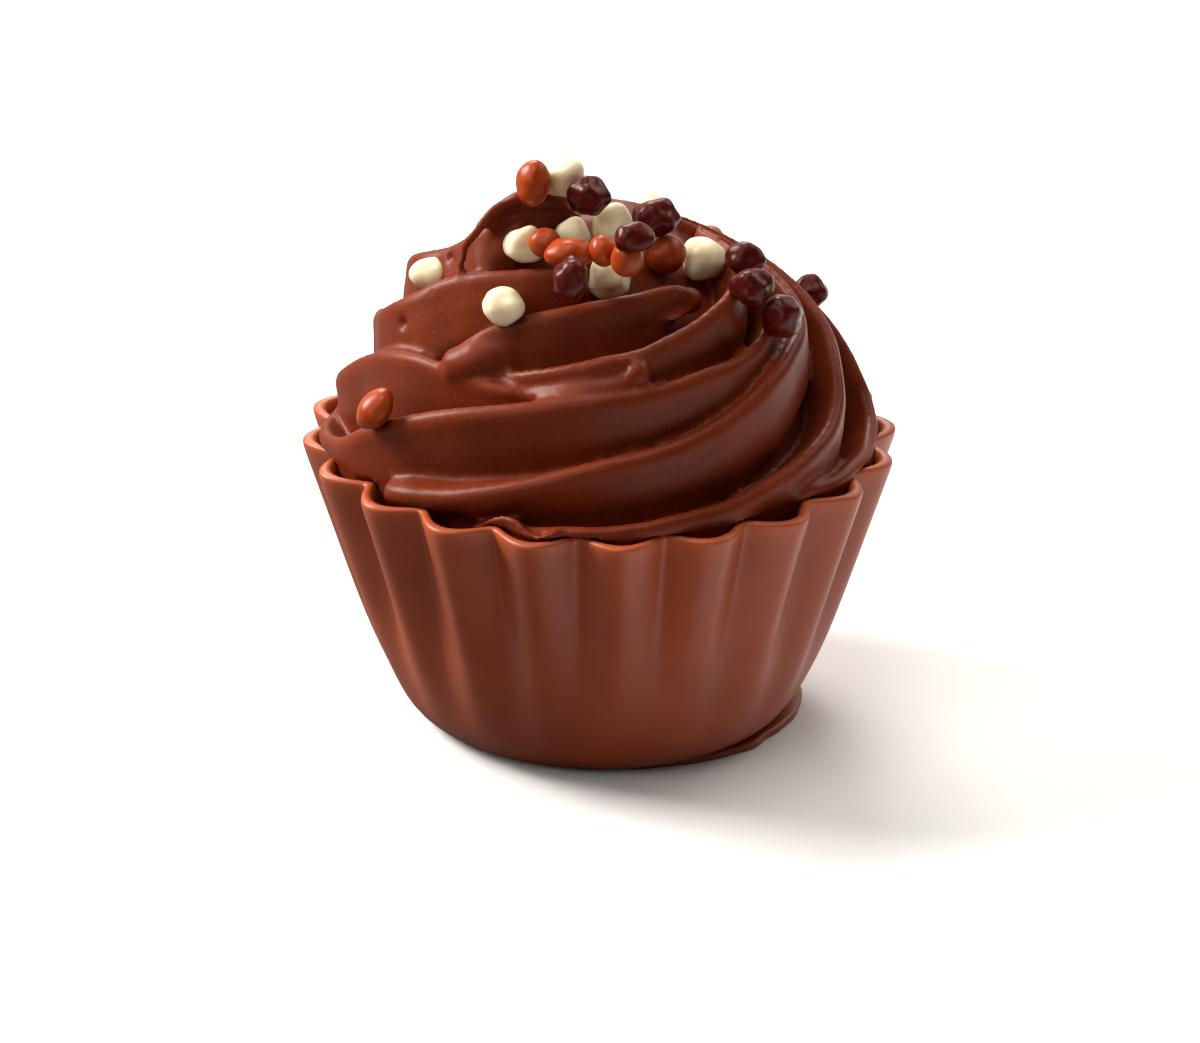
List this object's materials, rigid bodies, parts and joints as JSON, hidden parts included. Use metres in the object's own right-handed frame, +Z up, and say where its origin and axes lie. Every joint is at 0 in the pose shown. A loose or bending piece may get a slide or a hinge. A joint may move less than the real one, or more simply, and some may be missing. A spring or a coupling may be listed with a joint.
{
  "type": "chocolate truffle",
  "caption": "Chocolate truffle shaped like a small cupcake: a fluted moulded chocolate cup filled with ganache piped into a twisted swirl, with small crisp pearls on top.",
  "frame": {"origin": "middle of the flat base, on the surface it stands on", "axes": "+Z up, -Y towards the front that the picture shows; the thin spread of chocolate under the base shows towards +X"},
  "size_m": [0.038, 0.038, 0.035],
  "materials": {
    "cup_chocolate": "satin",
    "ganache": "satin",
    "pearl_white": "satin",
    "pearl_caramel": "gloss",
    "pearl_dark": "gloss"
  },
  "bodies": {
    "root": {"cup": "cup_chocolate", "swirl": "ganache"}
  },
  "joints": []
}
